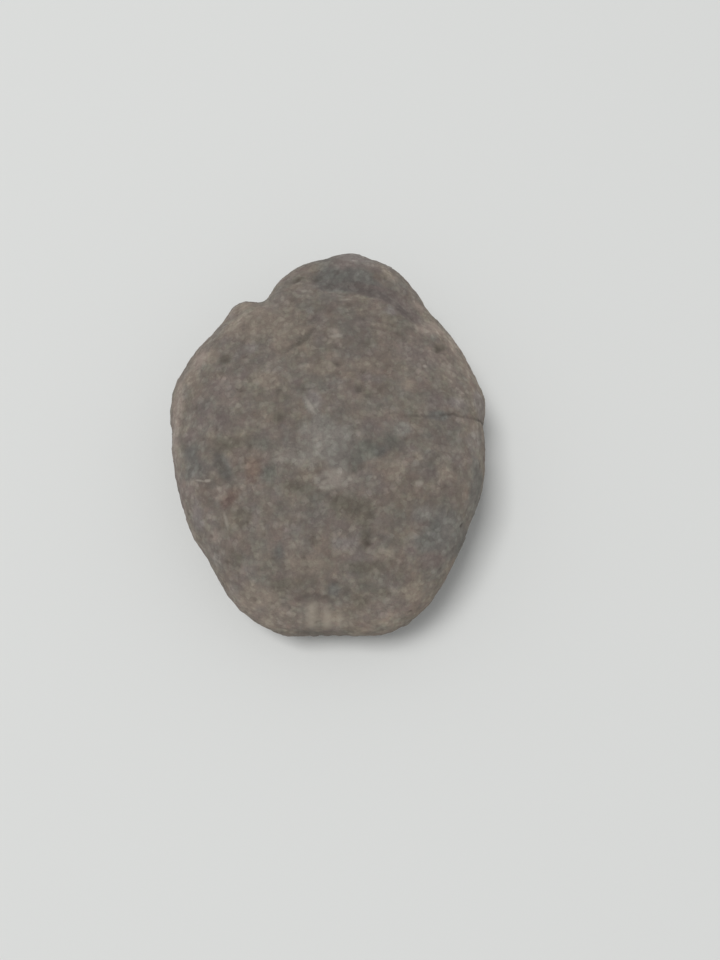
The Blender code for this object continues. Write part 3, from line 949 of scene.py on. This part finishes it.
# %% [markdown]
# ## Matt, with a fine grit
#
# A tumbled limestone scatters light almost evenly. Its roughness is near 0.9 and wanders a little, and its
# IOR is that of calcite and clay, about 1.5. A gritty stone doesn't darken towards its rim as a smooth ball
# does, which is what Diffuse Roughness gives. The grit of less than a third of a millimetre is finer than
# the skin's quads, so it is the one part of the shape that is left to a Bump node.

# %% Roughness, grit and hand-over
SMOOTHEST, ROUGHEST = 0.82, 0.96
CALCITE_IOR, GLOSS, GRITTY = 1.5, 0.35, 0.5
BUMP_STRENGTH, BUMP_HEIGHT = 0.6, 0.1

links = {"Value": noises["edges"], "To Min": SMOOTHEST, "To Max": ROUGHEST}
roughness = add_node(tree, "ShaderNodeMapRange", links).outputs["Result"]
tree.links.new(roughness, shader.inputs["Roughness"])
shader.inputs["IOR"].default_value = CALCITE_IOR
shader.inputs["Specular IOR Level"].default_value = GLOSS
shader.inputs["Diffuse Roughness"].default_value = GRITTY
links = {"Height": noises["grit"], "Strength": BUMP_STRENGTH, "Distance": BUMP_HEIGHT * MM}
bump = add_node(tree, "ShaderNodeBump", links)
tree.links.new(bump.outputs["Normal"], shader.inputs["Normal"])

stone.data.materials.append(material)
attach(stone, "root")
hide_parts("trilobite_fossil")
print("nodes in the material:", len(tree.nodes))

# %% [markdown]
# ## Floor and light
#
# The stone lies on a plain pale floor in the light of a large window, high up on its left. A large lamp far
# away gives an even floor, and since it stands so steep, the stone throws only a narrow shadow on its
# right. The room around gives the rest of the light, so the shadow is soft and the stone looks almost flat.

# %% Floor and light
FLOOR_SIZE, FLOOR_ROUGHNESS = 1500.0, 0.95
FLOOR_COLOUR, ROOM_COLOUR, ROOM_LIGHT = "#DCDDDB", "#F4F5F6", 0.485
LAMP_HEIGHT, LAMP_TURN, LAMP_DISTANCE = math.radians(73), math.radians(168), 1200.0
LAMP_SIZE, LAMP_WATTS = 460.0, 8.2

bpy.ops.object.select_all(action="DESELECT")
bpy.ops.mesh.primitive_plane_add(size=FLOOR_SIZE * MM)
floor = bpy.context.object
floor.name = "floor"
floor_paint = bpy.data.materials.new("pale_floor")
floor_paint.use_nodes = True
floor_shader = floor_paint.node_tree.nodes["Principled BSDF"]
floor_shader.inputs["Base Color"].default_value = linear(FLOOR_COLOUR)
floor_shader.inputs["Roughness"].default_value = FLOOR_ROUGHNESS
floor.data.materials.append(floor_paint)

lamp = bpy.data.objects.new("window", bpy.data.lights.new("window", "AREA"))
bpy.context.scene.collection.objects.link(lamp)
lamp.data.shape = "SQUARE"
lamp.data.size = LAMP_SIZE * MM
lamp.data.energy = LAMP_WATTS
level = math.cos(LAMP_HEIGHT)
towards = Vector((math.cos(LAMP_TURN) * level, math.sin(LAMP_TURN) * level, math.sin(LAMP_HEIGHT)))
lamp.location = towards * LAMP_DISTANCE * MM
lamp.rotation_euler = (-towards).to_track_quat("-Z", "Y").to_euler()

world = bpy.data.worlds.new("room")
world.use_nodes = True
room = world.node_tree.nodes["Background"]
room.inputs["Color"].default_value = linear(ROOM_COLOUR)
room.inputs["Strength"].default_value = ROOM_LIGHT
bpy.context.scene.world = world
bpy.context.scene.view_settings.view_transform = "Standard"
print("lamp at, mm:", [round(value / MM) for value in lamp.location])
